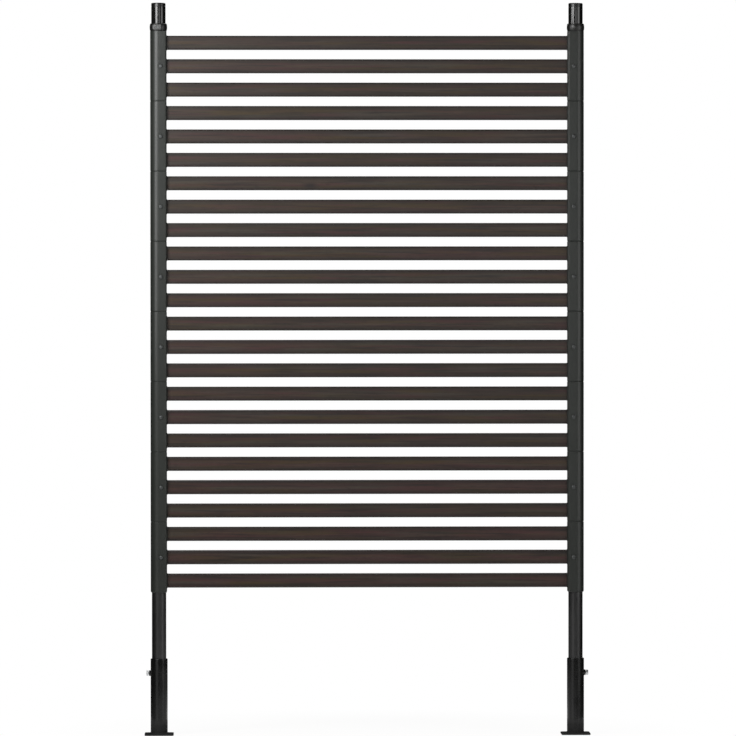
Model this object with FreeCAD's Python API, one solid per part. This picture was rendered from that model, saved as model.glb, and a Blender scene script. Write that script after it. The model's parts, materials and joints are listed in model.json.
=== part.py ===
import FreeCAD, Part
import math
import os

from FreeCAD import Vector

# Decorative garden fence: a panel of hollow resin slats between two round steel posts.
# Sizes in millimetres. The origin is on the ground, midway between the posts.
# +X runs along the slats, the front of the fence faces -Y, and +Z is up.

# Panel
post_spacing = 835.0
panel_bottom = 286.0
brackets_per_post = 8
slats_per_bracket = 3

# Slat: hollow extrusion with rounded edges
slat_height = 28.0
slat_depth = 15.0
slat_wall = 1.8
slat_edge_radius = 3.0
slat_gap = 18.8
slat_end_gap = 0.2

# Post: steel tube with a plastic cap
post_diameter = 28.6
post_wall = 1.2
post_above_collar = 34.0
cap_head = 8.0
cap_chamfer = 1.8
cap_plug_length = 14.0
cap_plug_clearance = 0.1

# Slat bracket: moulded sleeve with a shoulder and a tongue for each slat
bracket_bore_clearance = 0.2
bracket_wall = 2.1
bracket_flat_wall = 1.5
bracket_corner_chamfer = 2.5
bracket_rim_chamfer = 1.2
shoulder_length = 1.4
shoulder_lip = 0.5
shoulder_flare = 1.0
shoulder_flare_rise = 2.4
tongue_length = 24.0
tongue_clearance = 0.3

# Bracket screw: self-tapping, with a low tapered head
bracket_screw_offset = 4.5
bracket_screw_diameter = 3.8
bracket_screw_length = 9.0
bracket_screw_head_diameter = 7.4
bracket_screw_head_height = 2.4
bracket_screw_hole_clearance = 0.3
screw_thread_clearance = 0.05

# Stop collar and its set screw
collar_height = 15.0
collar_bore_clearance = 0.2
collar_wall = 3.0
collar_rim_chamfer = 1.5
collar_pad_width = 18.0
collar_pad_height = 11.0
collar_pad_rise = 1.2
left_collar_turn = -7.5
right_collar_turn = 180.0
set_screw_diameter = 5.0
set_screw_recess = 0.6
set_screw_socket = 2.5
set_screw_socket_depth = 2.2

# Ground socket: sleeve welded to a base plate
plate_thickness = 3.2
plate_corner_radius = 6.0
plate_hole_spacing = 42.0
plate_hole_diameter = 6.5
plate_edge_distance = 8.0
sleeve_length = 150.0
sleeve_clearance = 0.3
sleeve_wall = 2.4
sleeve_rim_chamfer = 1.2
weld_leg = 3.0

# Clamp bolt and its weld nut
bolt_height = 124.0
bolt_diameter = 6.0
bolt_head_flats = 10.0
bolt_head_height = 4.0
bolt_head_gap = 1.2
bolt_tip_clearance = 0.3
bolt_running_clearance = 0.05
nut_flats = 11.0
nut_rise = 3.2
nut_seat_clearance = 0.05

# Worked-out sizes
post_radius = post_diameter / 2
post_x = post_spacing / 2
slat_pitch = slat_height + slat_gap
bracket_height = slats_per_bracket * slat_pitch
panel_top = panel_bottom + brackets_per_post * bracket_height
post_top = panel_top + collar_height + post_above_collar
bracket_bore = post_radius + bracket_bore_clearance
shoulder_depth = slat_depth + 2 * shoulder_lip
shoulder_height = slat_height + 2 * shoulder_lip
bracket_half = max(bracket_bore + bracket_wall, shoulder_depth / 2 + bracket_corner_chamfer)
bracket_flat = bracket_bore + bracket_flat_wall
shoulder_end = bracket_flat + shoulder_length
slat_length = post_spacing - 2 * (shoulder_end + slat_end_gap)
tongue_depth = slat_depth - 2 * (slat_wall + tongue_clearance)
tongue_height = slat_height - 2 * (slat_wall + tongue_clearance)
plate_size = plate_hole_spacing + 2 * plate_edge_distance
sleeve_bore = post_radius + sleeve_clearance
sleeve_radius = sleeve_bore + sleeve_wall
collar_bore = post_radius + collar_bore_clearance
collar_radius = collar_bore + collar_wall
collar_face = collar_radius + collar_pad_rise

UP = Vector(0, 0, 1)
ALONG = Vector(1, 0, 0)
BACK = Vector(0, 1, 0)
ORIGIN = Vector(0, 0, 0)
TINY = 1e-6


def profile(points):
    """Face in the XZ plane with its corners at the (x, z) points."""
    corners = [Vector(x, 0, z) for x, z in points]
    return Part.Face(Part.makePolygon(corners + [corners[0]]))


def turned(points):
    """Solid of revolution about Z with its half section's corners at the (radius, z) points."""
    return profile(points).revolve(ORIGIN, UP, 360)


def hexagon(flats, height):
    """Hexagonal prism standing on the XY plane, two of its flats square to X."""
    corner = hexagon_corner(flats)
    turns = [math.radians(30 + 60 * side) for side in range(7)]
    corners = [Vector(corner * math.cos(turn), corner * math.sin(turn), 0) for turn in turns]
    return Part.Face(Part.makePolygon(corners)).extrude(UP * height)


def hexagon_corner(flats):
    """Radius to the corners of a hexagon of the given width across flats."""
    return flats / math.sqrt(3)


def slat():
    """Hollow slat along X, centred on the origin."""
    corner = Vector(-slat_length / 2, -slat_depth / 2, -slat_height / 2)
    shell = Part.makeBox(slat_length, slat_depth, slat_height, corner)
    long_edges = [edge for edge in shell.Edges if edge.BoundBox.XLength > slat_length - TINY]
    shell = shell.makeFillet(slat_edge_radius, long_edges)
    inner_corner = corner + Vector(0, slat_wall, slat_wall)
    hollow = Part.makeBox(slat_length, slat_depth - 2 * slat_wall, slat_height - 2 * slat_wall, inner_corner)
    return shell.cut(hollow)


def slat_heights():
    """Heights of the slat centres above the foot of a bracket."""
    return [(row + 0.5) * slat_pitch for row in range(slats_per_bracket)]


def screw_height():
    """Height of the screw above the foot of a bracket, level with its middle slat."""
    return slat_heights()[slats_per_bracket // 2]


def bracket_body():
    """Sleeve with a half-round outer side, straight flanks and a flat inner side, and chamfered rims."""
    half = bracket_half
    round_side = Part.makeCylinder(half, bracket_height)
    flat_side = Part.makeBox(bracket_flat, 2 * half, bracket_height, Vector(0, -half, 0))
    body = round_side.common(Part.makeBox(half, 2 * half, bracket_height, Vector(-half, -half, 0)))
    body = body.fuse(flat_side).removeSplitter()
    corners = [edge for edge in body.Edges
               if edge.BoundBox.ZLength > bracket_height - TINY and edge.BoundBox.XMin > bracket_flat - TINY]
    body = body.makeChamfer(bracket_corner_chamfer, corners)
    rims = [edge for edge in body.Edges if edge.BoundBox.ZLength < TINY]
    return body.makeChamfer(bracket_rim_chamfer, rims)


def slat_seat():
    """Shoulder that flares into the flat side of the bracket, and the tongue inside the slat."""
    inside = bracket_flat - bracket_flat_wall / 2
    top = shoulder_height / 2
    root = top + shoulder_flare_rise
    edge = bracket_flat + shoulder_flare
    shoulder = profile([
        (inside, root), (bracket_flat, root), (edge, top), (shoulder_end, top),
        (shoulder_end, -top), (edge, -top), (bracket_flat, -root), (inside, -root)])
    shoulder = shoulder.extrude(BACK * shoulder_depth)
    shoulder.translate(BACK * (-shoulder_depth / 2))
    corner = Vector(shoulder_end, -tongue_depth / 2, -tongue_height / 2)
    return shoulder.fuse(Part.makeBox(tongue_length, tongue_depth, tongue_height, corner))


def slat_bracket():
    """Moulded bracket round the post's axis, its foot on the XY plane, its slats towards +X."""
    body = bracket_body()
    for height in slat_heights():
        seat = slat_seat()
        seat.translate(UP * height)
        body = body.fuse(seat)
    body = body.cut(Part.makeCylinder(bracket_bore, bracket_height))
    hole_radius = bracket_screw_diameter / 2 + bracket_screw_hole_clearance
    hole_start = Vector(bracket_screw_offset, -bracket_half, screw_height())
    body = body.cut(Part.makeCylinder(hole_radius, bracket_half, hole_start, BACK))
    return body.removeSplitter()


def bracket_screw():
    """Screw along +Y, with the seat of its head on the XZ plane."""
    radius = bracket_screw_diameter / 2
    head = bracket_screw_head_diameter / 2
    top = bracket_screw_head_height
    screw = turned([
        (0, -bracket_screw_length), (radius, -bracket_screw_length), (radius, 0), (head, 0),
        (radius, top), (0, top)])
    screw.rotate(ORIGIN, ALONG, 90)
    return screw


def bracket_screw_places():
    """Points under the screw heads of one post, one in front of each bracket."""
    heights = [panel_bottom + row * bracket_height + screw_height() for row in range(brackets_per_post)]
    return [Vector(bracket_screw_offset, -bracket_half, height) for height in heights]


def bracket_screws():
    """The screws of one post, through the front of the brackets into the tube."""
    screws = []
    for place in bracket_screw_places():
        screw = bracket_screw()
        screw.translate(place)
        screws.append(screw)
    return Part.makeCompound(screws)


def post():
    """Steel tube standing on the base plate, drilled in front for the bracket screws."""
    length = post_top - plate_thickness
    foot = UP * plate_thickness
    body = Part.makeCylinder(post_radius, length, foot)
    body = body.cut(Part.makeCylinder(post_radius - post_wall, length, foot))
    hole_radius = bracket_screw_diameter / 2 + screw_thread_clearance
    for place in bracket_screw_places():
        body = body.cut(Part.makeCylinder(hole_radius, bracket_half, place, BACK))
    return body


def post_cap():
    """Plastic cap with a head as wide as the post and a plug inside the tube."""
    plug = post_radius - post_wall - cap_plug_clearance
    cap = turned([
        (0, -cap_plug_length), (plug, -cap_plug_length), (plug, 0), (post_radius, 0),
        (post_radius, cap_head - cap_chamfer), (post_radius - cap_chamfer, cap_head), (0, cap_head)])
    cap.translate(UP * post_top)
    return cap


def stop_collar():
    """Ring with chamfered rims and a flat pad in front for its set screw, foot on the XY plane."""
    rim = collar_radius - collar_rim_chamfer
    shoulder = collar_height - collar_rim_chamfer
    ring = turned([
        (collar_bore, 0), (rim, 0), (collar_radius, collar_rim_chamfer),
        (collar_radius, shoulder), (rim, collar_height), (collar_bore, collar_height)])
    corner = Vector(-collar_pad_width / 2, -collar_face, (collar_height - collar_pad_height) / 2)
    pad = Part.makeBox(collar_pad_width, collar_face, collar_pad_height, corner)
    pad = pad.cut(Part.makeCylinder(collar_bore, collar_height))
    hole_radius = set_screw_diameter / 2 + screw_thread_clearance
    hole = Part.makeCylinder(hole_radius, collar_face, UP * (collar_height / 2), -BACK)
    return ring.fuse(pad).cut(hole).removeSplitter()


def set_screw():
    """Set screw along Y with a hexagon socket, its point at the post."""
    tip = post_radius + screw_thread_clearance
    length = collar_face - set_screw_recess - tip
    screw = Part.makeCylinder(set_screw_diameter / 2, length)
    socket = hexagon(set_screw_socket, set_screw_socket_depth)
    socket.translate(UP * (length - set_screw_socket_depth))
    screw = screw.cut(socket)
    screw.translate(UP * tip)
    screw.rotate(ORIGIN, ALONG, 90)
    screw.translate(UP * (collar_height / 2))
    return screw


def on_brackets(shape, turn):
    """Turns a collar piece about the post and sets it on top of the brackets."""
    shape.rotate(ORIGIN, UP, turn)
    shape.translate(UP * panel_top)
    return shape


def base_plate():
    """Square steel plate on the ground with four bolt holes."""
    half = plate_size / 2
    plate = Part.makeBox(plate_size, plate_size, plate_thickness, Vector(-half, -half, 0))
    uprights = [edge for edge in plate.Edges if edge.BoundBox.ZLength > plate_thickness - TINY]
    plate = plate.makeFillet(plate_corner_radius, uprights)
    place = plate_hole_spacing / 2
    for x, y in ((-place, -place), (-place, place), (place, -place), (place, place)):
        plate = plate.cut(Part.makeCylinder(plate_hole_diameter / 2, plate_thickness, Vector(x, y, 0)))
    return plate


def bolt_hole(length):
    """Running hole for the clamp bolt, from the post's axis outwards."""
    return Part.makeCylinder(bolt_diameter / 2 + bolt_running_clearance, length, UP * bolt_height, -ALONG)


def socket_sleeve():
    """Steel sleeve round the foot of the post, with its weld to the base plate."""
    rim = sleeve_radius - sleeve_rim_chamfer
    shoulder = sleeve_length - sleeve_rim_chamfer
    sleeve = turned([
        (sleeve_bore, 0), (sleeve_radius + weld_leg, 0), (sleeve_radius, weld_leg),
        (sleeve_radius, shoulder), (rim, sleeve_length), (sleeve_bore, sleeve_length)])
    sleeve.translate(UP * plate_thickness)
    return sleeve.cut(bolt_hole(sleeve_radius))


def weld_nut():
    """Hexagonal nut welded to the outer side of the sleeve, shaped to its curve."""
    nut = hexagon(nut_flats, sleeve_radius + nut_rise)
    nut.rotate(ORIGIN, BACK, -90)
    nut.translate(UP * bolt_height)
    seat = Part.makeCylinder(sleeve_radius + nut_seat_clearance, 2 * bolt_height)
    return nut.cut(seat).cut(bolt_hole(sleeve_radius + nut_rise))


def clamp_bolt():
    """Hexagon-head bolt through the nut and the sleeve, its tip just clear of the post."""
    tip = post_radius + bolt_tip_clearance
    head_seat = sleeve_radius + nut_rise + bolt_head_gap
    shank = Part.makeCylinder(bolt_diameter / 2, head_seat - tip, UP * tip)
    corner = hexagon_corner(bolt_head_flats)
    flat = bolt_head_flats / 2
    bevel = turned([
        (0, 0), (corner, 0), (corner, bolt_head_height - (corner - flat)), (flat, bolt_head_height),
        (0, bolt_head_height)])
    head = hexagon(bolt_head_flats, bolt_head_height).common(bevel)
    head.translate(UP * head_seat)
    bolt = shank.fuse(head)
    bolt.rotate(ORIGIN, BACK, -90)
    bolt.translate(UP * bolt_height)
    return bolt


def on_post(shape, side):
    """Moves a piece made round the Z axis for the left post to the left (-1) or right (1) post."""
    if side > 0:
        shape = shape.mirror(ORIGIN, ALONG)
    shape.translate(ALONG * (side * post_x))
    return shape


def write(shape, node):
    """Writes one piece, or one group of like fasteners, to its own file."""
    shape.exportStep("parts/" + node + ".step")


os.makedirs("parts", exist_ok=True)

for row in range(brackets_per_post * slats_per_bracket):
    one_slat = slat()
    one_slat.translate(UP * (panel_top - (row + 0.5) * slat_pitch))
    write(one_slat, "slat_%02d" % (row + 1))

for name, side, collar_turn in (("left", -1, left_collar_turn), ("right", 1, right_collar_turn)):
    write(on_post(base_plate(), side), name + "_base_plate")
    write(on_post(socket_sleeve(), side), name + "_socket_sleeve")
    write(on_post(weld_nut(), side), name + "_weld_nut")
    write(on_post(clamp_bolt(), side), name + "_clamp_bolt")
    write(on_post(post(), side), name + "_post")
    write(on_post(post_cap(), side), name + "_post_cap")
    write(on_post(on_brackets(stop_collar(), collar_turn), side), name + "_stop_collar")
    write(on_post(on_brackets(set_screw(), collar_turn), side), name + "_set_screw")
    write(on_post(bracket_screws(), side), name + "_bracket_screws")
    for row in range(brackets_per_post):
        bracket = slat_bracket()
        bracket.translate(UP * (panel_top - (row + 1) * bracket_height))
        write(on_post(bracket, side), name + "_bracket_%d" % (row + 1))
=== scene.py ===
import json
import math

import bmesh
import bpy
from mathutils import Matrix, Vector


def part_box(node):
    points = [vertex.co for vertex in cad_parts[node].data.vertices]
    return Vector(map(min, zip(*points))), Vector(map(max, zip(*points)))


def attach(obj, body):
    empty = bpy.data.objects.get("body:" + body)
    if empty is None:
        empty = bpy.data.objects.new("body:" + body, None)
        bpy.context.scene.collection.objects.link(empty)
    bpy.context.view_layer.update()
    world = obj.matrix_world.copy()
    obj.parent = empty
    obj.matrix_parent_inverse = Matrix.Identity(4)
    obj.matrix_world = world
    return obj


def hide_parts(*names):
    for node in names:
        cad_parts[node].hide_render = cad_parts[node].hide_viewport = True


# Decorative garden fence: wood-look resin slats in moulded brackets on two round steel posts.
# Everything is in metres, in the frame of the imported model. The front faces -Y.
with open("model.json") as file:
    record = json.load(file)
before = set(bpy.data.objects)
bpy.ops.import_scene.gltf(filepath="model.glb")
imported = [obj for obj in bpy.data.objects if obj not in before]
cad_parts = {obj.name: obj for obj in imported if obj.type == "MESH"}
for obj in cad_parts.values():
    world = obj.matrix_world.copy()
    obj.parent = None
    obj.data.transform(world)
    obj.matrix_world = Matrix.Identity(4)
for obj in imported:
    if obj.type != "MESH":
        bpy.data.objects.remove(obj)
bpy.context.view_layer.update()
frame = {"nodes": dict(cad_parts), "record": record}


# Base plates: a square of mild steel under each post, with four holes for ground bolts.
# Cut from sheet, its corners rounded and edges broken, then painted black with the sleeve.
mm = 0.001
sides = (("left", -1), ("right", 1))
plate_low, plate_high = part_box("right_base_plate")
post_x = (plate_low.x + plate_high.x) / 2
plate_half = plate_high.y
plate_top = plate_high.z
plate_corner_radius = 6 * mm
plate_edge_break = 0.6 * mm
ground_bolts = next(m for m in frame["record"]["mounts"] if m["kind"] == "bolt_pattern")["dims"]
plate_hole_place = ground_bolts["spacing_x_mm"] / 2 * mm
plate_hole_radius = ground_bolts["hole_r_mm"] * mm
arc_step = math.radians(9)
same_point = 1e-7
crease = math.radians(32)


def soften(corners):
    """Closed outline through (u, v, radius) corners, each rounded by an arc of its radius."""
    points = []
    for index, (u, v, radius) in enumerate(corners):
        here = Vector((u, v))
        before = (Vector(corners[index - 1][:2]) - here).normalized()
        after = (Vector(corners[(index + 1) % len(corners)][:2]) - here).normalized()
        turn = math.pi - before.angle(after)
        start = here + before * radius * math.tan(turn / 2)
        centre = start + Vector((-before.y, before.x)) * math.copysign(radius, before.cross(after))
        steps = max(1, round(turn / arc_step)) if radius else 0
        for step in range(steps + 1):
            swing = math.copysign(turn, -before.cross(after)) * step / max(1, steps)
            point = centre + Matrix.Rotation(swing, 2) @ (start - centre)
            if not points or (point - points[-1]).length > same_point:
                points.append(point)
    if (points[0] - points[-1]).length < same_point:
        points.pop()
    return points


def circle(u, v, radius):
    """Closed round outline."""
    corners = ((1, 1), (-1, 1), (-1, -1), (1, -1))
    return soften([(u + radius * a, v + radius * b, radius) for a, b in corners])


def rectangle(half_u, half_v, radius):
    """Closed outline of a rectangle round the origin with rounded corners."""
    corners = ((-1, -1), (1, -1), (1, 1), (-1, 1))
    return soften([(half_u * a, half_v * b, radius) for a, b in corners])


def shrink(outline, inset):
    """The counter-clockwise outline moved inwards by the inset, with as many points."""
    moved = []
    for index, here in enumerate(outline):
        first = (here - outline[index - 1]).normalized()
        second = (outline[(index + 1) % len(outline)] - here).normalized()
        inward = Vector((-first.y - second.y, first.x + second.x)).normalized()
        moved.append(here + inward * (inset / inward.dot(Vector((-first.y, first.x)))))
    return moved


def stack(outlines, rings):
    """Closed mesh through (inset, height) rings of the outlines: the first outside, the rest holes in it.

    A height is a number, or a function of the point's place."""
    mesh = bmesh.new()
    levels = []
    for inset, height in rings:
        level = []
        for order, outline in enumerate(outlines):
            loop = shrink(outline, -inset if order else inset)
            heights = [height(p) if callable(height) else height for p in loop]
            level.append([mesh.verts.new((p.x, p.y, h)) for p, h in zip(loop, heights)])
        levels.append(level)
    for low, high in zip(levels, levels[1:]):
        for under, over in zip(low, high):
            for index in range(len(under)):
                mesh.faces.new((under[index - 1], under[index], over[index], over[index - 1]))
    for level in (levels[0], levels[-1]):
        pairs = [(loop[index - 1], loop[index]) for loop in level for index in range(len(loop))]
        rim = [mesh.edges.get(pair) for pair in pairs]
        bmesh.ops.triangle_fill(mesh, use_beauty=True, edges=rim)
    bmesh.ops.recalc_face_normals(mesh, faces=mesh.faces)
    return mesh


def rounded_rings(low, high, inset, rise, steps=3):
    """Rings from low to high whose two rims are rounded by the inset over the rise."""
    turns = [math.pi / 2 * step / steps for step in range(steps + 1)]
    foot = [(inset * (1 - math.sin(turn)), low + rise * (1 - math.cos(turn))) for turn in turns]
    return foot + [(ring_inset, high + low - height) for ring_inset, height in reversed(foot)]


def on_post(mesh, side):
    """Moves a mesh made round the Z axis for the left post to the left (-1) or right (1) post."""
    if side > 0:
        bmesh.ops.scale(mesh, vec=(-1, 1, 1), verts=mesh.verts)
        bmesh.ops.reverse_faces(mesh, faces=mesh.faces)
    bmesh.ops.translate(mesh, vec=(side * post_x, 0, 0), verts=mesh.verts)
    return mesh


def piece(name, mesh, material, body, slot, *nodes):
    """Adds a mesh as a piece that rides on a body and stands for the CAD nodes.

    Its normals follow the larger faces, so that long sides shade flat right up to their rims."""
    data = bpy.data.meshes.new(name)
    mesh.to_mesh(data)
    mesh.free()
    data.polygons.foreach_set("use_smooth", [True] * len(data.polygons))
    data.set_sharp_from_angle(angle=crease)
    data.materials.append(material)
    made = bpy.data.objects.new(name, data)
    bpy.context.scene.collection.objects.link(made)
    flat = made.modifiers.new("flat_sides", "WEIGHTED_NORMAL")
    flat.keep_sharp = True
    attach(made, body)
    if nodes:
        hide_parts(*nodes)


def linear(code):
    """Linear colour of an sRGB hex code."""
    parts = [int(code[place:place + 2], 16) / 255 for place in (1, 3, 5)]
    return [p / 12.92 if p <= 0.04045 else ((p + 0.055) / 1.055) ** 2.4 for p in parts] + [1.0]


def add(tree, kind, settings=None, links=None):
    """Adds a node: settings are its properties or inputs, links are its inputs and what feeds them."""
    node = tree.nodes.new(kind)
    for name, value in (settings or {}).items():
        if isinstance(name, str) and hasattr(node, name):
            setattr(node, name, value)
        else:
            node.inputs[name].default_value = value
    for name, source in (links or {}).items():
        tree.links.new(source, node.inputs[name])
    return node


def finish_named(name):
    """A new material for a finish, with its node tree, its shader and the place on the piece."""
    material = bpy.data.materials.new(name)
    material.use_nodes = True
    tree = material.node_tree
    place = add(tree, "ShaderNodeTexCoord").outputs["Object"]
    return material, tree, tree.nodes["Principled BSDF"].inputs, place


# Semi-gloss black enamel sprayed on steel: a dark film with soft broad highlights, a faint
# orange peel of 2 mm cells, and duller clouds where hands and dust have been. In the lowest 20 mm
# the heat of the weld has left it matt.
socket_enamel, tree, enamel, place = finish_named("semi_gloss_black_enamel")
enamel_peel = 2 * mm
enamel_cloud = 30 * mm
scorch_height = 20 * mm
scorch_fade = 14 * mm
clouds = add(tree, "ShaderNodeTexNoise", {"Scale": 1 / enamel_cloud, "Detail": 3.0}, {"Vector": place})
tone = add(tree, "ShaderNodeMix",
           {"data_type": "RGBA", 6: linear("#0C0C0C"), 7: linear("#141413")}, {0: clouds.outputs["Fac"]})
gloss = add(tree, "ShaderNodeMapRange",
            {"From Min": 0.3, "From Max": 0.7, "To Min": 0.2, "To Max": 0.3},
            {"Value": clouds.outputs["Fac"]})
height = add(tree, "ShaderNodeSeparateXYZ", None, {"Vector": place}).outputs["Z"]
scorch = add(tree, "ShaderNodeMapRange",
             {"From Min": scorch_height, "From Max": scorch_height + scorch_fade,
              "To Min": 0.5, "To Max": 0.0}, {"Value": height})
dulled = add(tree, "ShaderNodeMath", {"operation": "ADD"},
             {0: gloss.outputs["Result"], 1: scorch.outputs["Result"]})
peel = add(tree, "ShaderNodeTexNoise", {"Scale": 1 / enamel_peel, "Detail": 1.0}, {"Vector": place})
relief = add(tree, "ShaderNodeBump",
             {"Strength": 0.2, "Distance": 0.1 * mm}, {"Height": peel.outputs["Fac"]})
tree.links.new(tone.outputs[2], enamel["Base Color"])
tree.links.new(dulled.outputs["Value"], enamel["Roughness"])
tree.links.new(relief.outputs["Normal"], enamel["Normal"])
enamel["IOR"].default_value = 1.5
enamel["Specular IOR Level"].default_value = 0.38

plate_outline = rectangle(plate_half, plate_half, plate_corner_radius)
plate_holes = [
    circle(plate_hole_place * a, plate_hole_place * b, plate_hole_radius)
    for a, b in ((-1, -1), (1, -1), (1, 1), (-1, 1))]
plate_rings = rounded_rings(0, plate_top, plate_edge_break, plate_edge_break)
for name, side in sides:
    plate = stack([plate_outline] + plate_holes, plate_rings)
    piece(name + "_plate_steel", on_post(plate, side), socket_enamel,
          "ground_sockets", "socket_paint", name + "_base_plate")


# Socket sleeves: steel tube round the foot of each post, with its top rim rounded off.
# Drilled on the outer side for the clamp bolt and welded to the base plate all round.
sleeve_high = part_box("right_socket_sleeve")[1]
sleeve_radius = 17 * mm
sleeve_bore = 14.6 * mm
sleeve_rim_radius = 1.1 * mm
sleeve_bore_break = 0.4 * mm
bolt_low, bolt_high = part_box("right_clamp_bolt")
bolt_z = (bolt_low.z + bolt_high.z) / 2
bolt_place = Matrix.Translation((0, 0, bolt_z)) @ Matrix.Rotation(-math.pi / 2, 4, "Y")
bolt_hole_radius = 3.05 * mm
tube_steps = 96


def lathe(outline, steps):
    """Closed mesh turned about Z from a closed outline of (radius, height) points."""
    mesh = bmesh.new()
    rings = []
    for radius, height in outline:
        turns = [math.tau * step / steps for step in range(steps if radius > same_point else 1)]
        rings.append([mesh.verts.new((radius * math.cos(t), radius * math.sin(t), height)) for t in turns])
    for low, high in zip(rings, rings[1:] + rings[:1]):
        for step in range(steps):
            corners = [low[step % len(low)], low[(step + 1) % len(low)],
                       high[(step + 1) % len(high)], high[step % len(high)]]
            corners = list(dict.fromkeys(corners))
            if len(corners) > 2:
                mesh.faces.new(corners)
    bmesh.ops.recalc_face_normals(mesh, faces=mesh.faces)
    return mesh


def combine(base, *steps):
    """The base mesh after (operation, tool mesh) steps that join tools on or cut them away."""
    holders = []
    for mesh in [base] + [tool for operation, tool in steps]:
        data = bpy.data.meshes.new("working")
        mesh.to_mesh(data)
        mesh.free()
        holder = bpy.data.objects.new("working", data)
        bpy.context.scene.collection.objects.link(holder)
        holders.append(holder)
    for (operation, tool), holder in zip(steps, holders[1:]):
        modifier = holders[0].modifiers.new(operation, "BOOLEAN")
        modifier.operation = operation
        modifier.solver = "EXACT"
        modifier.object = holder
    evaluated = holders[0].evaluated_get(bpy.context.evaluated_depsgraph_get())
    made = bmesh.new()
    made.from_mesh(evaluated.to_mesh())
    for holder in holders:
        bpy.data.meshes.remove(holder.data)
    return made


sleeve_outline = soften([
    (sleeve_bore, plate_top, 0), (sleeve_radius, plate_top, 0),
    (sleeve_radius, sleeve_high.z, sleeve_rim_radius), (sleeve_bore, sleeve_high.z, sleeve_bore_break)])
for name, side in sides:
    drill = stack([circle(0, 0, bolt_hole_radius)], [(0, 0), (0, 2 * sleeve_radius)])
    drill.transform(bolt_place)
    sleeve = combine(lathe(sleeve_outline, tube_steps), ("DIFFERENCE", drill))
    piece(name + "_sleeve_tube", on_post(sleeve, side), socket_enamel,
          "ground_sockets", "socket_paint", name + "_socket_sleeve")


# Weld beads: the fillet of weld metal in the corner of sleeve and plate, laid in short ripples.
# It is painted over with the socket.
weld_leg = 3 * mm
weld_ripple = 2.6 * mm
weld_ripple_rise = 0.35 * mm
weld_ripple_steps = 8
weld_section_steps = 6
weld_section_power = 1.4
weld_sink = 0.2 * mm
ripple_count = round(math.tau * (sleeve_radius + weld_leg / 2) / weld_ripple)
weld_steps = ripple_count * weld_ripple_steps


def weld_bead():
    """Ring of weld with a convex face that swells and falls along each ripple.

    Its section would be round with a power of 1 and straight with 2."""
    bead = bmesh.new()
    rings = []
    for step in range(weld_steps):
        turn = math.tau * step / weld_steps
        phase = (step % weld_ripple_steps) / weld_ripple_steps
        swell = weld_ripple_rise * (phase - 1)
        section = [(sleeve_radius - weld_sink, plate_top)]
        for part in range(weld_section_steps + 1):
            lean = math.pi / 2 * part / weld_section_steps
            leg = weld_leg - weld_ripple_rise + swell * math.sin(2 * lean)
            section.append((sleeve_radius + leg * math.cos(lean) ** weld_section_power,
                            plate_top + leg * math.sin(lean) ** weld_section_power))
        section.append((sleeve_radius - weld_sink, section[-1][1]))
        rings.append([bead.verts.new((r * math.cos(turn), r * math.sin(turn), z)) for r, z in section])
    for first, second in zip(rings, rings[1:] + rings[:1]):
        for index in range(len(first)):
            bead.faces.new((first[index - 1], first[index], second[index], second[index - 1]))
    bmesh.ops.recalc_face_normals(bead, faces=bead.faces)
    return bead


for name, side in sides:
    piece(name + "_weld_bead", on_post(weld_bead(), side), socket_enamel, "ground_sockets", "socket_paint")


# Weld nuts: hexagon nuts seated on the outer side of the sleeves, which the clamp bolts screw into.
# Hot-formed steel, chamfered on the outer face and painted with the socket.
nut_low, nut_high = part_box("right_weld_nut")
nut_rise_to = nut_high.x - post_x
nut_corner = (nut_high.y - nut_low.y) / 2
nut_sides = 6
nut_chamfer = 0.6 * mm
nut_edge_radius = 0.8 * mm
nut_edge_parts = 6


def sleeve_surface(point):
    """Distance of the sleeve's face from the post's axis, beside the middle of the nut."""
    return math.sqrt(sleeve_radius ** 2 - point.y ** 2)


nut_turns = [math.tau * (corner + 0.5) / nut_sides for corner in range(nut_sides)]
nut_hexagon = soften([
    (nut_corner * math.cos(t), nut_corner * math.sin(t), nut_edge_radius) for t in nut_turns])
nut_outline = []
for index, point in enumerate(nut_hexagon):
    next_point = nut_hexagon[(index + 1) % len(nut_hexagon)]
    parts = nut_edge_parts if (next_point - point).length > nut_corner / 2 else 1
    nut_outline += [point.lerp(next_point, part / parts) for part in range(parts)]
for name, side in sides:
    nut = stack([nut_outline, circle(0, 0, bolt_hole_radius)], [
        (0, sleeve_surface), (0, nut_rise_to - nut_chamfer),
        (nut_chamfer / 2, nut_rise_to - nut_chamfer / 4), (nut_chamfer, nut_rise_to)])
    nut.transform(bolt_place)
    piece(name + "_nut_hexagon", on_post(nut, side), socket_enamel,
          "ground_sockets", "socket_paint", name + "_weld_nut")


# Clamp bolts: hexagon-head bolts that press on the post through the sleeve, so it can't rise or turn.
# Cold-headed steel; their solids stay as they are, with the edges broken.
bolt_edge_break = 0.25 * mm


def dress(node, material, edge_break):
    """Gives a CAD node a finish and breaks its edges with a bevel."""
    solid = frame["nodes"][node]
    solid.material_slots[0].material = material
    bevel = solid.modifiers.new("broken_edges", "BEVEL")
    bevel.width = edge_break
    bevel.segments = 2
    bevel.limit_method = "ANGLE"
    bevel.angle_limit = crease
    bevel.harden_normals = True


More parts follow.
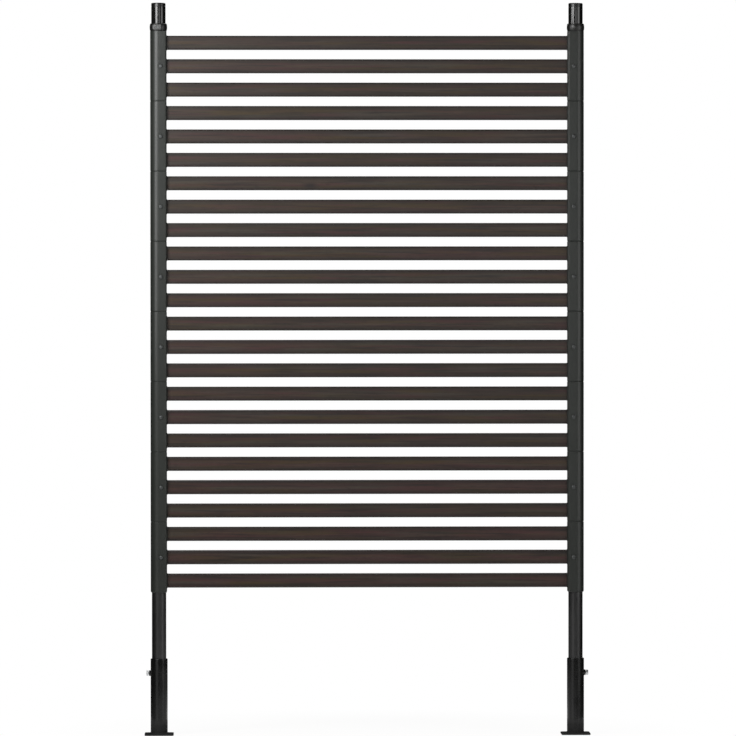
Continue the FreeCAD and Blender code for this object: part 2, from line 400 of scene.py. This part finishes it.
# Zinc-plated steel: a bright bluish-grey metal, clouded by the plating bath in patches of 4 mm,
# that mirrors softly.
zinc_plate, tree, zinc, place = finish_named("zinc_plated_steel")
zinc_patch = 4 * mm
patches = add(tree, "ShaderNodeTexNoise", {"Scale": 1 / zinc_patch, "Detail": 4.0}, {"Vector": place})
tone = add(tree, "ShaderNodeMix",
           {"data_type": "RGBA", 6: linear("#B4B6B8"), 7: linear("#DEE0E0")}, {0: patches.outputs["Fac"]})
gloss = add(tree, "ShaderNodeMapRange",
            {"From Min": 0.3, "From Max": 0.7, "To Min": 0.32, "To Max": 0.48},
            {"Value": patches.outputs["Fac"]})
tree.links.new(tone.outputs[2], zinc["Base Color"])
tree.links.new(gloss.outputs["Result"], zinc["Roughness"])
zinc["Metallic"].default_value = 1.0

for name, side in sides:
    dress(name + "_clamp_bolt", zinc_plate, bolt_edge_break)


# Posts: round steel tube from the base plate to above the panel, held upright by the sleeve.
# Drawn and welded tube, painted gloss black; the brackets hide most of it.
post_low, post_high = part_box("right_post")
post_radius = 14.3 * mm
post_wall = 1.2 * mm
post_end_break = 0.3 * mm

# Gloss black enamel on drawn tube: a near-black film that mirrors the lights in clean upright
# strips, softened a little by a peel of 3 mm cells. Dust dulls it up to 300 mm above the ground and
# fades out at twice that height.
post_enamel, tree, enamel, place = finish_named("gloss_black_enamel")
post_peel = 3 * mm
post_cloud = 45 * mm
dust_line = 300 * mm
clouds = add(tree, "ShaderNodeTexNoise", {"Scale": 1 / post_cloud, "Detail": 3.0}, {"Vector": place})
tone = add(tree, "ShaderNodeMix",
           {"data_type": "RGBA", 6: linear("#0C0C0C"), 7: linear("#171716")}, {0: clouds.outputs["Fac"]})
gloss = add(tree, "ShaderNodeMapRange",
            {"From Min": 0.3, "From Max": 0.7, "To Min": 0.1, "To Max": 0.18},
            {"Value": clouds.outputs["Fac"]})
height = add(tree, "ShaderNodeSeparateXYZ", None, {"Vector": place}).outputs["Z"]
dust = add(tree, "ShaderNodeMapRange",
           {"From Min": dust_line, "From Max": 2 * dust_line, "To Min": 0.26, "To Max": 0.0},
           {"Value": height})
dulled = add(tree, "ShaderNodeMath", {"operation": "ADD"},
             {0: gloss.outputs["Result"], 1: dust.outputs["Result"]})
peel = add(tree, "ShaderNodeTexNoise", {"Scale": 1 / post_peel, "Detail": 1.0}, {"Vector": place})
relief = add(tree, "ShaderNodeBump",
             {"Strength": 0.004, "Distance": 0.1 * mm}, {"Height": peel.outputs["Fac"]})
tree.links.new(tone.outputs[2], enamel["Base Color"])
tree.links.new(dulled.outputs["Value"], enamel["Roughness"])
tree.links.new(relief.outputs["Normal"], enamel["Normal"])
enamel["IOR"].default_value = 1.65

post_outline = soften([
    (post_radius - post_wall, post_low.z, 0), (post_radius, post_low.z, post_end_break),
    (post_radius, post_high.z, post_end_break), (post_radius - post_wall, post_high.z, 0)])
for name, side in sides:
    post = lathe(post_outline, tube_steps)
    piece(name + "_post_tube", on_post(post, side), post_enamel, "fence", "post_paint", name + "_post")


# Post caps: plugs that close the tops of the posts, pushed into the tube.
# Injection-moulded polypropylene, black and glossy, with a rounded rim and a slightly domed top.
cap_low, cap_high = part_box("right_post_cap")
cap_rim_radius = 2.2 * mm
cap_dome = 0.8 * mm
cap_seam = 0.4 * mm
cap_plug_clearance = 0.1 * mm
cap_plug_corner = 1 * mm
cap_plug_radius = post_radius - post_wall - cap_plug_clearance

# Gloss black polypropylene as moulded: slightly greyer than the enamel and less sharp in its mirror.
cap_plastic, tree, plastic, place = finish_named("gloss_black_polypropylene")
cap_grain = 1.5 * mm
grain = add(tree, "ShaderNodeTexNoise", {"Scale": 1 / cap_grain, "Detail": 2.0}, {"Vector": place})
tone = add(tree, "ShaderNodeMix",
           {"data_type": "RGBA", 6: linear("#0E0E0E"), 7: linear("#181818")}, {0: grain.outputs["Fac"]})
gloss = add(tree, "ShaderNodeMapRange", {"To Min": 0.18, "To Max": 0.3}, {"Value": grain.outputs["Fac"]})
tree.links.new(tone.outputs[2], plastic["Base Color"])
tree.links.new(gloss.outputs["Result"], plastic["Roughness"])
plastic["IOR"].default_value = 1.49

cap_outline = soften([
    (0, cap_low.z, 0), (cap_plug_radius, cap_low.z, cap_plug_corner), (cap_plug_radius, post_high.z, 0),
    (post_radius - cap_seam, post_high.z, 0), (post_radius - cap_seam, post_high.z + cap_seam, 0),
    (post_radius, post_high.z + 2 * cap_seam, 0), (post_radius, cap_high.z - cap_dome, cap_rim_radius),
    (0, cap_high.z, 0)])
for name, side in sides:
    cap = lathe(cap_outline, tube_steps)
    piece(name + "_cap_moulding", on_post(cap, side), cap_plastic,
          "fence", "cap_plastic", name + "_post_cap")


# Slat brackets: moulded sleeves stacked on the posts, eight a side, each with seats for three slats.
# Half round outside and flat towards the slats; every seat flares out of the flat side and ends in
# a tongue inside the hollow slat. Their rounded rims leave a fine groove between neighbours.
brackets_per_post = 8
slats_per_bracket = 3
bracket_low, bracket_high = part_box("left_bracket_1")
bracket_half = bracket_high.y
bracket_height = bracket_high.z - bracket_low.z
bracket_bore = 14.5 * mm
bore_overcut = 1 * mm
bracket_flat = 16 * mm
bracket_corner_radius = 3.4 * mm
bracket_foot_inset = 1.3 * mm
bracket_foot_rise = 3.2 * mm
bracket_head_inset = 0.5 * mm
bracket_head_rise = 0.6 * mm
slat_low, slat_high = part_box("slat_01")
slat_size = slat_high - slat_low
slat_pitch = bracket_height / slats_per_bracket
seat_lip = 0.5 * mm
seat_clearance = 0.2 * mm
seat_end = slat_low.x + post_x - seat_clearance
seat_flare = 1 * mm
seat_flare_rise = 2.4 * mm
seat_flare_steps = 8
seat_edge = 0.25 * mm
seat_root = 4 * mm
seat_blend = 0.06 * mm
tongue_end = bracket_high.x + post_x
tongue_gap = 2.1 * mm
tongue_corner = 1 * mm
screw_offset = 4.5 * mm
screw_hole_radius = 2.2 * mm
screw_groove_inner = 4.4 * mm
screw_groove_outer = 5.6 * mm
screw_groove_depth = 0.5 * mm
screw_groove_taper = 0.3 * mm


def along_y(mesh):
    """Lays a mesh that was stacked up Z along the Y axis, its outline's second axis up."""
    mesh.transform(Matrix.Rotation(math.pi / 2, 4, "X"))
    return mesh


def slat_seat(height):
    """Shoulder and tongue for one slat at a height above the foot of the bracket."""
    top = slat_size.z / 2 + seat_lip
    inside = bracket_flat - seat_root
    upper = [Vector((seat_end, top))]
    for step in range(seat_flare_steps + 1):
        turn = math.pi / 2 * (1 - step / seat_flare_steps)
        reach = seat_flare - (seat_flare + seat_blend) * math.cos(turn)
        upper.append(Vector((bracket_flat + reach, top + seat_flare_rise * (1 - math.sin(turn)))))
    upper.append(Vector((inside, upper[-1].y)))
    lower = [Vector((point.x, -point.y)) for point in reversed(upper)]
    depth = slat_size.y / 2 + seat_lip
    shoulder = along_y(stack([lower + upper], rounded_rings(-depth, depth, seat_edge, seat_edge, steps=2)))
    half_height = slat_size.z / 2 - tongue_gap
    half_depth = slat_size.y / 2 - tongue_gap
    start = seat_end - seat_edge
    tongue = along_y(stack(
        [soften([(start, -half_height, 0), (tongue_end, -half_height, tongue_corner),
                 (tongue_end, half_height, tongue_corner), (start, half_height, 0)])],
        [(0, -half_depth), (0, half_depth)]))
    for mesh in (shoulder, tongue):
        bmesh.ops.translate(mesh, vec=(0, 0, height), verts=mesh.verts)
    return shoulder, tongue


def slat_bracket():
    """One bracket round the Z axis, its foot on the XY plane and its slats towards +X."""
    outline = soften([
        (-bracket_half, -bracket_half, bracket_half), (bracket_flat, -bracket_half, bracket_corner_radius),
        (bracket_flat, bracket_half, bracket_corner_radius), (-bracket_half, bracket_half, bracket_half)])
    foot = rounded_rings(0, bracket_height, bracket_foot_inset, bracket_foot_rise)
    head = rounded_rings(0, bracket_height, bracket_head_inset, bracket_head_rise)
    body = stack([outline], foot[:len(foot) // 2] + head[len(head) // 2:])
    steps = []
    for row in range(slats_per_bracket):
        steps += [("UNION", mesh) for mesh in slat_seat((row + 0.5) * slat_pitch)]
    bore = stack([circle(0, 0, bracket_bore)], [(0, -bore_overcut), (0, bracket_height + bore_overcut)])
    hole = along_y(stack([circle(0, 0, screw_hole_radius)], [(0, 0), (0, 2 * bracket_half)]))
    groove = along_y(stack(
        [circle(0, 0, screw_groove_outer), circle(0, 0, screw_groove_inner)],
        [(screw_groove_taper, bracket_half - screw_groove_depth), (0, bracket_half + screw_groove_depth)]))
    for tool in (hole, groove):
        bmesh.ops.translate(tool, vec=(screw_offset, 0, bracket_height / 2), verts=tool.verts)
    steps += [("DIFFERENCE", bore), ("DIFFERENCE", hole), ("DIFFERENCE", groove)]
    return combine(body, *steps)


# Charcoal polypropylene, moulded in a spark-eroded tool: a dull grey-green black with a fine grain of
# 0.4 mm, drawn at 1.2 mm so that it shows, and slow clouds from the flow of the melt.
bracket_plastic, tree, plastic, place = finish_named("charcoal_moulded_polypropylene")
tool_grain = 1.2 * mm
flow_cloud = 60 * mm
grain = add(tree, "ShaderNodeTexNoise", {"Scale": 1 / tool_grain, "Detail": 2.0}, {"Vector": place})
clouds = add(tree, "ShaderNodeTexNoise", {"Scale": 1 / flow_cloud, "Detail": 3.0}, {"Vector": place})
tone = add(tree, "ShaderNodeMix",
           {"data_type": "RGBA", 6: linear("#222522"), 7: linear("#2C2F2B")}, {0: clouds.outputs["Fac"]})
speckle = add(tree, "ShaderNodeMapRange",
              {"From Min": 0.35, "From Max": 0.65, "To Min": 0.0, "To Max": 0.35},
              {"Value": grain.outputs["Fac"]})
skin = add(tree, "ShaderNodeMix", {"data_type": "RGBA", 7: linear("#161716")},
           {0: speckle.outputs["Result"], 6: tone.outputs[2]})
gloss = add(tree, "ShaderNodeMapRange", {"To Min": 0.34, "To Max": 0.44}, {"Value": grain.outputs["Fac"]})
relief = add(tree, "ShaderNodeBump",
             {"Strength": 0.35, "Distance": 0.1 * mm}, {"Height": grain.outputs["Fac"]})
tree.links.new(skin.outputs[2], plastic["Base Color"])
tree.links.new(gloss.outputs["Result"], plastic["Roughness"])
tree.links.new(relief.outputs["Normal"], plastic["Normal"])
plastic["IOR"].default_value = 1.49

moulding = slat_bracket()
for name, side in sides:
    for row in range(1, brackets_per_post + 1):
        node = "%s_bracket_%d" % (name, row)
        bracket = moulding.copy()
        bmesh.ops.translate(bracket, vec=(0, 0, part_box(node)[0].z), verts=bracket.verts)
        piece(node + "_moulding", on_post(bracket, side), bracket_plastic, "fence", "bracket_plastic", node)
moulding.free()


# Bracket screws: one pan-head self-tapping screw in front of each bracket, driven into the tube.
# Cold-headed steel with a cross recess, zinc plated.
screw_low, screw_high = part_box("left_bracket_screws")
screw_radius = 1.9 * mm
screw_tip_radius = 1 * mm
screw_steps = 36
screw_head_radius = 3.7 * mm
screw_head_seat_break = 0.1 * mm
screw_head_side_share = 0.5
screw_head_side_radius = 0.7 * mm
screw_head_top_share = 0.55
screw_head_top_radius = 1.2 * mm
screw_head_rise = -screw_low.y - bracket_half
screw_length = screw_high.y + bracket_half
recess_half_length = 1.4 * mm
recess_half_width = 0.35 * mm
recess_depth = 0.8 * mm
recess_taper = 0.15 * mm


def bracket_screw():
    """Screw along Y with the seat of its head on the XZ plane, head towards -Y."""
    screw = lathe(soften([
        (0, -screw_length, 0), (screw_radius, -screw_length, screw_tip_radius), (screw_radius, 0, 0),
        (screw_head_radius, 0, screw_head_seat_break),
        (screw_head_radius, screw_head_rise * screw_head_side_share, screw_head_side_radius),
        (screw_head_radius * screw_head_top_share, screw_head_rise, screw_head_top_radius),
        (0, screw_head_rise, 0)]), screw_steps)
    cuts = []
    for long, wide in ((recess_half_length, recess_half_width), (recess_half_width, recess_half_length)):
        cuts.append(("DIFFERENCE", stack([rectangle(long, wide, 0)], [
            (recess_taper, screw_head_rise - recess_depth), (0, screw_head_rise + recess_depth)])))
    return along_y(combine(screw, *cuts))


# Dull zinc plating, as on small screws that are tumbled in bulk: a soft grey without a clear mirror,
# mottled in patches of 1.5 mm.
screw_zinc, tree, zinc, place = finish_named("tumbled_zinc_plated_steel")
screw_patch = 1.5 * mm
patches = add(tree, "ShaderNodeTexNoise", {"Scale": 1 / screw_patch, "Detail": 2.0}, {"Vector": place})
tone = add(tree, "ShaderNodeMix",
           {"data_type": "RGBA", 6: linear("#585A5A"), 7: linear("#727474")}, {0: patches.outputs["Fac"]})
gloss = add(tree, "ShaderNodeMapRange", {"To Min": 0.52, "To Max": 0.66}, {"Value": patches.outputs["Fac"]})
tree.links.new(tone.outputs[2], zinc["Base Color"])
tree.links.new(gloss.outputs["Result"], zinc["Roughness"])
zinc["Metallic"].default_value = 1.0

for name, side in sides:
    row_of_screws = bmesh.new()
    for row in range(1, brackets_per_post + 1):
        foot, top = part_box("%s_bracket_%d" % (name, row))
        screw = bracket_screw()
        seat = (screw_offset, -bracket_half, (foot.z + top.z) / 2)
        bmesh.ops.translate(screw, vec=seat, verts=screw.verts)
        placed = bpy.data.meshes.new("working")
        screw.to_mesh(placed)
        screw.free()
        row_of_screws.from_mesh(placed)
        bpy.data.meshes.remove(placed)
    piece(name + "_screw_row", on_post(row_of_screws, side), screw_zinc,
          "fence", "zinc_steel", name + "_bracket_screws")


# Slats: hollow profiles pushed over the brackets' tongues at both ends, twenty-four in all.
# Extruded from brown resin with rounded edges, and finished with a printed and brushed wood grain.
slat_wall = 1.8 * mm
slat_edge_radius = 3 * mm
slat_inner_radius = 1.2 * mm
slat_end_break = 0.3 * mm

# Wood-grain resin, printed and brushed: dark brown with fine light and dark streaks lengthways. Soft
# bands of about 170 mm by 8 mm lean to red, olive or grey, and there are dark pores and a few small
# knots. Whole slats are lighter, darker or redder, the low ones redder still. Painted shade darkens
# the colour towards the rounded top and bottom edges of each slat. The brushed skin has a broad, weak
# sheen towards the light.
slat_resin, tree, resin, place = finish_named("brushed_wood_grain_resin")
wood_patterns = (
    ("tone", 500 * mm, 50 * mm, 1.0),
    ("streaks", 150 * mm, 3.2 * mm, 3.0),
    ("dark_streaks", 130 * mm, 4.5 * mm, 2.0),
    ("red_bands", 170 * mm, 8 * mm, 2.0),
    ("olive_bands", 190 * mm, 9 * mm, 2.0),
    ("grey_bands", 230 * mm, 11 * mm, 2.0),
    ("pores", 18 * mm, 1.6 * mm, 2.0),
    ("red_mix", 1400 * mm, 70 * mm, 1.0),
)
pattern_offset = 7.3
red_full_height = 460 * mm
red_end_height = 760 * mm
# Painted shade at the slats' edges: it begins this far from a top or bottom edge and is full this close to
# it.
painted_shade_edge_start = 10 * mm
painted_shade_edge_full = 2.5 * mm
panel_top = (slat_low.z + slat_high.z + slat_pitch) / 2
knot_spacing = 330 * mm
knot_stretch = 2.2
knot_rim = 0.06
knot_heart = 0.015
wood_share = {}
for index, (name, length, width, detail) in enumerate(wood_patterns):
    across = index * pattern_offset
    stretched = add(tree, "ShaderNodeMapping",
                    {"Scale": (1 / length, 1 / width, 1 / width), "Location": (across, across, across)},
                    {"Vector": place})
    noise = add(tree, "ShaderNodeTexNoise", {"Scale": 1.0, "Detail": detail},
                {"Vector": stretched.outputs["Vector"]})
    wood_share[name] = noise.outputs["Fac"]
height = add(tree, "ShaderNodeSeparateXYZ", None, {"Vector": place}).outputs["Z"]
low_red = add(tree, "ShaderNodeMapRange",
              {"From Min": red_full_height, "From Max": red_end_height, "To Min": 0.2, "To Max": 0.0},
              {"Value": height})
red_mix = add(tree, "ShaderNodeMath", {"operation": "ADD"},
              {0: wood_share["red_mix"], 1: low_red.outputs["Result"]})
wood_share["red_mix"] = red_mix.outputs["Value"]
wood = add(tree, "ShaderNodeMix",
           {"data_type": "RGBA", 6: linear("#271C15"), 7: linear("#372A21")}, {0: wood_share["tone"]})
wood_layers = (
    ("red_mix", "#3A2220", 0.5, 0.62, 0.75),
    ("streaks", "#46392C", 0.46, 0.72, 0.65),
    ("red_bands", "#3D2120", 0.47, 0.63, 0.85),
    ("olive_bands", "#382B12", 0.49, 0.65, 0.8),
    ("grey_bands", "#37332C", 0.50, 0.68, 0.65),
    ("dark_streaks", "#1A130F", 0.50, 0.68, 0.75),
    ("pores", "#19130F", 0.56, 0.72, 0.5),
)
for name, colour, from_value, to_value, share in wood_layers:
    amount = add(tree, "ShaderNodeMapRange",
                 {"From Min": from_value, "From Max": to_value, "To Min": 0.0, "To Max": share},
                 {"Value": wood_share[name]})
    wood = add(tree, "ShaderNodeMix", {"data_type": "RGBA", 7: linear(colour)},
               {0: amount.outputs["Result"], 6: wood.outputs[2]})
# Painted shade: each slat's colour is darkened towards its top and bottom edges, where the rounded edges
# turn from the light.
below_top = add(tree, "ShaderNodeMath",
                {"operation": "MULTIPLY_ADD", 1: -1 / slat_pitch, 2: panel_top / slat_pitch}, {0: height})
in_pitch = add(tree, "ShaderNodeMath", {"operation": "FRACT"}, {0: below_top.outputs["Value"]})
from_middle = add(tree, "ShaderNodeMath", {"operation": "SUBTRACT", 1: 0.5}, {0: in_pitch.outputs["Value"]})
off_middle = add(tree, "ShaderNodeMath", {"operation": "ABSOLUTE"}, {0: from_middle.outputs["Value"]})
painted_edge_shade = add(tree, "ShaderNodeMapRange",
                 {"From Min": (slat_size.z / 2 - painted_shade_edge_start) / slat_pitch,
                  "From Max": (slat_size.z / 2 - painted_shade_edge_full) / slat_pitch,
                  "To Min": 0.0, "To Max": 0.7}, {"Value": off_middle.outputs["Value"]})
wood = add(tree, "ShaderNodeMix", {"data_type": "RGBA", 7: linear("#120D0A")},
           {0: painted_edge_shade.outputs["Result"], 6: wood.outputs[2]})
knot_place = add(tree, "ShaderNodeMapping",
                 {"Scale": (1 / knot_spacing, knot_stretch / knot_spacing, knot_stretch / knot_spacing)},
                 {"Vector": place})
knots = add(tree, "ShaderNodeTexVoronoi", {"Scale": 1.0, "Randomness": 1.0},
            {"Vector": knot_place.outputs["Vector"]})
knot_share = add(tree, "ShaderNodeMapRange",
                 {"From Min": knot_rim, "From Max": knot_heart, "To Min": 0.0, "To Max": 0.8},
                 {"Value": knots.outputs["Distance"]})
wood = add(tree, "ShaderNodeMix", {"data_type": "RGBA", 7: linear("#16110F")},
           {0: knot_share.outputs["Result"], 6: wood.outputs[2]})
gloss = add(tree, "ShaderNodeMapRange",
            {"From Min": 0.3, "From Max": 0.7, "To Min": 0.47, "To Max": 0.38},
            {"Value": wood_share["streaks"]})
relief = add(tree, "ShaderNodeBump",
             {"Strength": 0.2, "Distance": 0.15 * mm}, {"Height": wood_share["streaks"]})
tree.links.new(wood.outputs[2], resin["Base Color"])
tree.links.new(gloss.outputs["Result"], resin["Roughness"])
tree.links.new(relief.outputs["Normal"], resin["Normal"])
resin["IOR"].default_value = 1.5
resin["Specular IOR Level"].default_value = 0.52


for node in sorted(name for name in frame["nodes"] if name.startswith("slat_")):
    low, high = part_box(node)
    half_height = (high.z - low.z) / 2
    half_depth = (high.y - low.y) / 2
    outer = rectangle(half_height, half_depth, slat_edge_radius)
    inner = rectangle(half_height - slat_wall, half_depth - slat_wall, slat_inner_radius)
    slat = stack([outer, inner], rounded_rings(low.x, high.x, slat_end_break, slat_end_break, steps=2))
    slat.transform(Matrix.Translation((0, 0, (low.z + high.z) / 2)) @ Matrix.Rotation(math.pi / 2, 4, "Y"))
    piece(node + "_extrusion", slat, slat_resin, "fence", "slat_resin", node)


# Stop collars: rings on top of the brackets that keep the stack down, each with a flat pad for its screw.
# Zinc die castings with a crowned face, painted gloss black.
collar_low, collar_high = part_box("left_stop_collar")
collar_bore = 14.5 * mm
collar_radius = 17.5 * mm
collar_crown = 1.2 * mm
collar_rim_radius = 0.8 * mm
collar_crown_steps = 12
collar_face = 18.7 * mm
pad_width = 18 * mm
pad_height = 11 * mm
pad_corner_radius = 2 * mm
pad_edge_radius = 0.8 * mm
pad_edge_middle = pad_edge_radius * 0.3
set_screw_hole_radius = 2.55 * mm
collar_height = collar_high.z - collar_low.z

# Gloss black enamel on a casting: as on the posts, over a skin that isn't quite smooth, so the
# mirror is softer and breaks into small patches.
collar_enamel, tree, enamel, place = finish_named("gloss_black_enamel_on_casting")
casting_skin = 5 * mm
skin = add(tree, "ShaderNodeTexNoise", {"Scale": 1 / casting_skin, "Detail": 3.0}, {"Vector": place})
tone = add(tree, "ShaderNodeMix",
           {"data_type": "RGBA", 6: linear("#0D0D0D"), 7: linear("#1A1A18")}, {0: skin.outputs["Fac"]})
gloss = add(tree, "ShaderNodeMapRange",
            {"From Min": 0.3, "From Max": 0.7, "To Min": 0.34, "To Max": 0.46},
            {"Value": skin.outputs["Fac"]})
relief = add(tree, "ShaderNodeBump",
             {"Strength": 0.04, "Distance": 0.3 * mm}, {"Height": skin.outputs["Fac"]})
tree.links.new(tone.outputs[2], enamel["Base Color"])
tree.links.new(gloss.outputs["Result"], enamel["Roughness"])
tree.links.new(relief.outputs["Normal"], enamel["Normal"])
enamel["IOR"].default_value = 1.55


def stop_collar():
    """Crowned ring round the Z axis, its foot on the XY plane, with its pad towards -Y."""
    crown = []
    for step in range(collar_crown_steps + 1):
        share = 2 * step / collar_crown_steps - 1
        rise = collar_height * (share + 1) / 2
        radius = collar_rim_radius if step in (0, collar_crown_steps) else 0
        crown.append((collar_radius - collar_crown * share ** 2, rise, radius))
    ring = lathe(soften([(collar_bore, 0, 0)] + crown + [(collar_bore, collar_height, 0)]), tube_steps)
    pad = along_y(stack([rectangle(pad_width / 2, pad_height / 2, pad_corner_radius)], [
        (0, collar_bore), (0, collar_face - pad_edge_radius),
        (pad_edge_middle, collar_face - pad_edge_middle), (pad_edge_radius, collar_face)]))
    bore = stack([circle(0, 0, collar_bore)], [(0, -bore_overcut), (0, collar_height + bore_overcut)])
    hole = along_y(stack([circle(0, 0, set_screw_hole_radius)], [(0, 0), (0, 2 * collar_face)]))
    for mesh in (pad, hole):
        bmesh.ops.translate(mesh, vec=(0, 0, collar_height / 2), verts=mesh.verts)
    return combine(ring, ("UNION", pad), ("DIFFERENCE", bore), ("DIFFERENCE", hole))


for name, side in sides:
    screw_low, screw_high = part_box(name + "_set_screw")
    screw_place = (screw_low + screw_high) / 2 - Vector((side * post_x, 0, 0))
    turn = math.atan2(-side * screw_place.x, -screw_place.y)
    collar = stop_collar()
    collar.transform(Matrix.Translation((0, 0, collar_low.z)) @ Matrix.Rotation(turn, 4, "Z"))
    piece(name + "_collar_casting", on_post(collar, side), collar_enamel,
          "fence", "collar_paint", name + "_stop_collar")


# Set screws: grub screws with a hexagon socket that lock the collars on the posts.
# Zinc-plated steel; their solids stay as they are, with the edges broken.
set_screw_edge_break = 0.12 * mm
for name, side in sides:
    dress(name + "_set_screw", screw_zinc, set_screw_edge_break)


# Studio: a pale floor under the fence and a white surround. Dark walls that only mirrors see stand all
# round, as black flags stand beside glossy things in a studio to keep their edges dark.
floor_radius = 0.7
floor_steps = 96
floor_drop = 0.5 * mm
floor_white_share = 0.92
flag_radius = 7.0
flag_height = 30.0
flag_foot = -4.0
flag_panels = 60


def stage_object(name, mesh, material):
    """Adds a mesh that isn't part of the fence."""
    data = bpy.data.meshes.new(name)
    mesh.to_mesh(data)
    mesh.free()
    data.materials.append(material)
    made = bpy.data.objects.new(name, data)
    bpy.context.scene.collection.objects.link(made)
    return made


# White floor paint: matt, and lifted towards plain white for the camera and for mirrors, so that only
# the soft shadow at the feet shows.
floor_paint = bpy.data.materials.new("matt_white_floor_paint")
floor_paint.use_nodes = True
tree = floor_paint.node_tree
tree.nodes.clear()
rays = add(tree, "ShaderNodeLightPath")
seen = add(tree, "ShaderNodeMath", {"operation": "ADD", "use_clamp": True},
           {0: rays.outputs["Is Camera Ray"], 1: rays.outputs["Is Glossy Ray"]})
seen = add(tree, "ShaderNodeMath", {"operation": "ADD", "use_clamp": True},
           {0: seen.outputs[0], 1: rays.outputs["Is Transmission Ray"]})
place = add(tree, "ShaderNodeTexCoord").outputs["Object"]
reach = add(tree, "ShaderNodeVectorMath", {"operation": "LENGTH"}, {0: place})
share = add(tree, "ShaderNodeMapRange",
            {"From Min": floor_radius / 2, "From Max": floor_radius,
             "To Min": floor_white_share, "To Max": 1.0}, {"Value": reach.outputs["Value"]})
lift = add(tree, "ShaderNodeMath", {"operation": "MULTIPLY"},
           {0: seen.outputs[0], 1: share.outputs["Result"]})
matt = add(tree, "ShaderNodeBsdfDiffuse", {"Color": linear("#F4F4F2")})
glow = add(tree, "ShaderNodeEmission", {"Color": linear("#FFFFFF"), "Strength": 1.0})
both = add(tree, "ShaderNodeMixShader", None,
           {0: lift.outputs[0], 1: matt.outputs[0], 2: glow.outputs[0]})
add(tree, "ShaderNodeOutputMaterial", None, {"Surface": both.outputs[0]})

floor_mesh = bmesh.new()
bmesh.ops.create_circle(floor_mesh, cap_ends=True, segments=floor_steps, radius=floor_radius)
bmesh.ops.translate(floor_mesh, vec=(0, 0, -floor_drop), verts=floor_mesh.verts)
stage_object("floor", floor_mesh, floor_paint)

# Black felt on the flags, which takes up the light.
flag_felt = bpy.data.materials.new("black_felt")
flag_felt.use_nodes = True
felt = flag_felt.node_tree.nodes["Principled BSDF"].inputs
felt["Base Color"].default_value = linear("#060606")
felt["Roughness"].default_value = 1.0
felt["Specular IOR Level"].default_value = 0.0
flags = bmesh.new()
uprights = []
for panel in range(flag_panels + 1):
    turn = math.tau * panel / flag_panels
    foot = (flag_radius * math.cos(turn), flag_radius * math.sin(turn), flag_foot)
    uprights.append([flags.verts.new(foot), flags.verts.new((foot[0], foot[1], flag_foot + flag_height))])
for first, second in zip(uprights, uprights[1:]):
    flags.faces.new((first[0], second[0], second[1], first[1]))
flag_wall = stage_object("flags", flags, flag_felt)
flag_wall.visible_camera = False
flag_wall.visible_diffuse = False
flag_wall.visible_shadow = False
flag_wall.visible_transmission = False

# White surround: seen as plain white, and a low even light on everything else.
surround_light = 0.25
surround = bpy.data.worlds.new("white_surround")
bpy.context.scene.world = surround
surround.use_nodes = True
tree = surround.node_tree
tree.nodes.clear()
rays = add(tree, "ShaderNodeLightPath")
seen = add(tree, "ShaderNodeMath", {"operation": "ADD", "use_clamp": True},
           {0: rays.outputs["Is Camera Ray"], 1: rays.outputs["Is Glossy Ray"]})
seen = add(tree, "ShaderNodeMath", {"operation": "ADD", "use_clamp": True},
           {0: seen.outputs[0], 1: rays.outputs["Is Transmission Ray"]})
strength = add(tree, "ShaderNodeMapRange",
               {"To Min": surround_light, "To Max": 1.0}, {"Value": seen.outputs[0]})
white = add(tree, "ShaderNodeBackground",
            {"Color": linear("#FFFFFF")}, {"Strength": strength.outputs["Result"]})
add(tree, "ShaderNodeOutputWorld", None, {"Surface": white.outputs[0]})

# Softboxes: the main one in front on the left and high, a narrow strip close to the left post, weaker
# ones low on the left, on the right and in front, and two behind. The fill behind shows in no mirror,
# so that it draws no white streak down the posts' edges.
panel_centre = Vector((0, 0, 0.95))
softboxes = (
    ("key_softbox", (-1.62, -2.16, 1.95), 1.8, 0.75, 12.5),
    ("low_softbox", (-1.62, -2.16, 0.15), 1.4, 0.5, 1.3),
    ("strip_softbox", (-0.75, -0.45, 1.18), 0.14, 0.85, 6.6),
    ("side_softbox", (2.26, -1.70, 1.12), 1.4, 2.1, 2.1),
    ("front_softbox", (0.72, -4.20, 1.10), 1.5, 1.1, 2.1),
    ("back_softbox", (1.00, 2.20, 3.30), 1.6, 1.6, 3.0),
    ("back_fill", (0.00, 3.00, 1.00), 2.4, 1.6, 3.5),
)
for name, place, width, height, radiance in softboxes:
    lamp = bpy.data.lights.new(name, "AREA")
    lamp.shape = "RECTANGLE"
    lamp.size = width
    lamp.size_y = height
    lamp.energy = radiance * math.pi * width * height
    box = bpy.data.objects.new(name, lamp)
    box.location = place
    box.rotation_euler = (panel_centre - Vector(place)).to_track_quat("-Z", "Y").to_euler()
    box.visible_camera = False
    box.visible_glossy = name != "back_fill"
    bpy.context.scene.collection.objects.link(box)


# Camera: in front of the fence at waist height, far off with a long lens. It stands a little to the
# left of the middle and is turned to the right by as much.
camera_target = Vector((0, 0, 0.735))
camera_distance = 12.0
camera_yaw = math.radians(-1.261)
camera_pitch = math.radians(-0.996)
camera_roll = math.radians(-0.032)
camera_slide = 1.4 * mm
camera_lens = 292.98
camera_sensor = 36.0
camera_reach = 200.0
look = Vector((-math.sin(camera_yaw) * math.cos(camera_pitch),
               math.cos(camera_yaw) * math.cos(camera_pitch), math.sin(camera_pitch)))
right = Vector((math.cos(camera_yaw), math.sin(camera_yaw), 0))
up = right.cross(look)
turned = Matrix((right * math.cos(camera_roll) + up * math.sin(camera_roll),
                 up * math.cos(camera_roll) - right * math.sin(camera_roll), -look)).transposed()
lens = bpy.data.cameras.new("camera")
lens.sensor_width = camera_sensor
lens.lens = camera_lens
lens.clip_end = camera_reach
camera = bpy.data.objects.new("camera", lens)
camera.location = camera_target - look * camera_distance + right * camera_slide
camera.rotation_euler = turned.to_euler()
bpy.context.scene.collection.objects.link(camera)
bpy.context.scene.camera = camera
bpy.context.scene.view_settings.view_transform = "Standard"
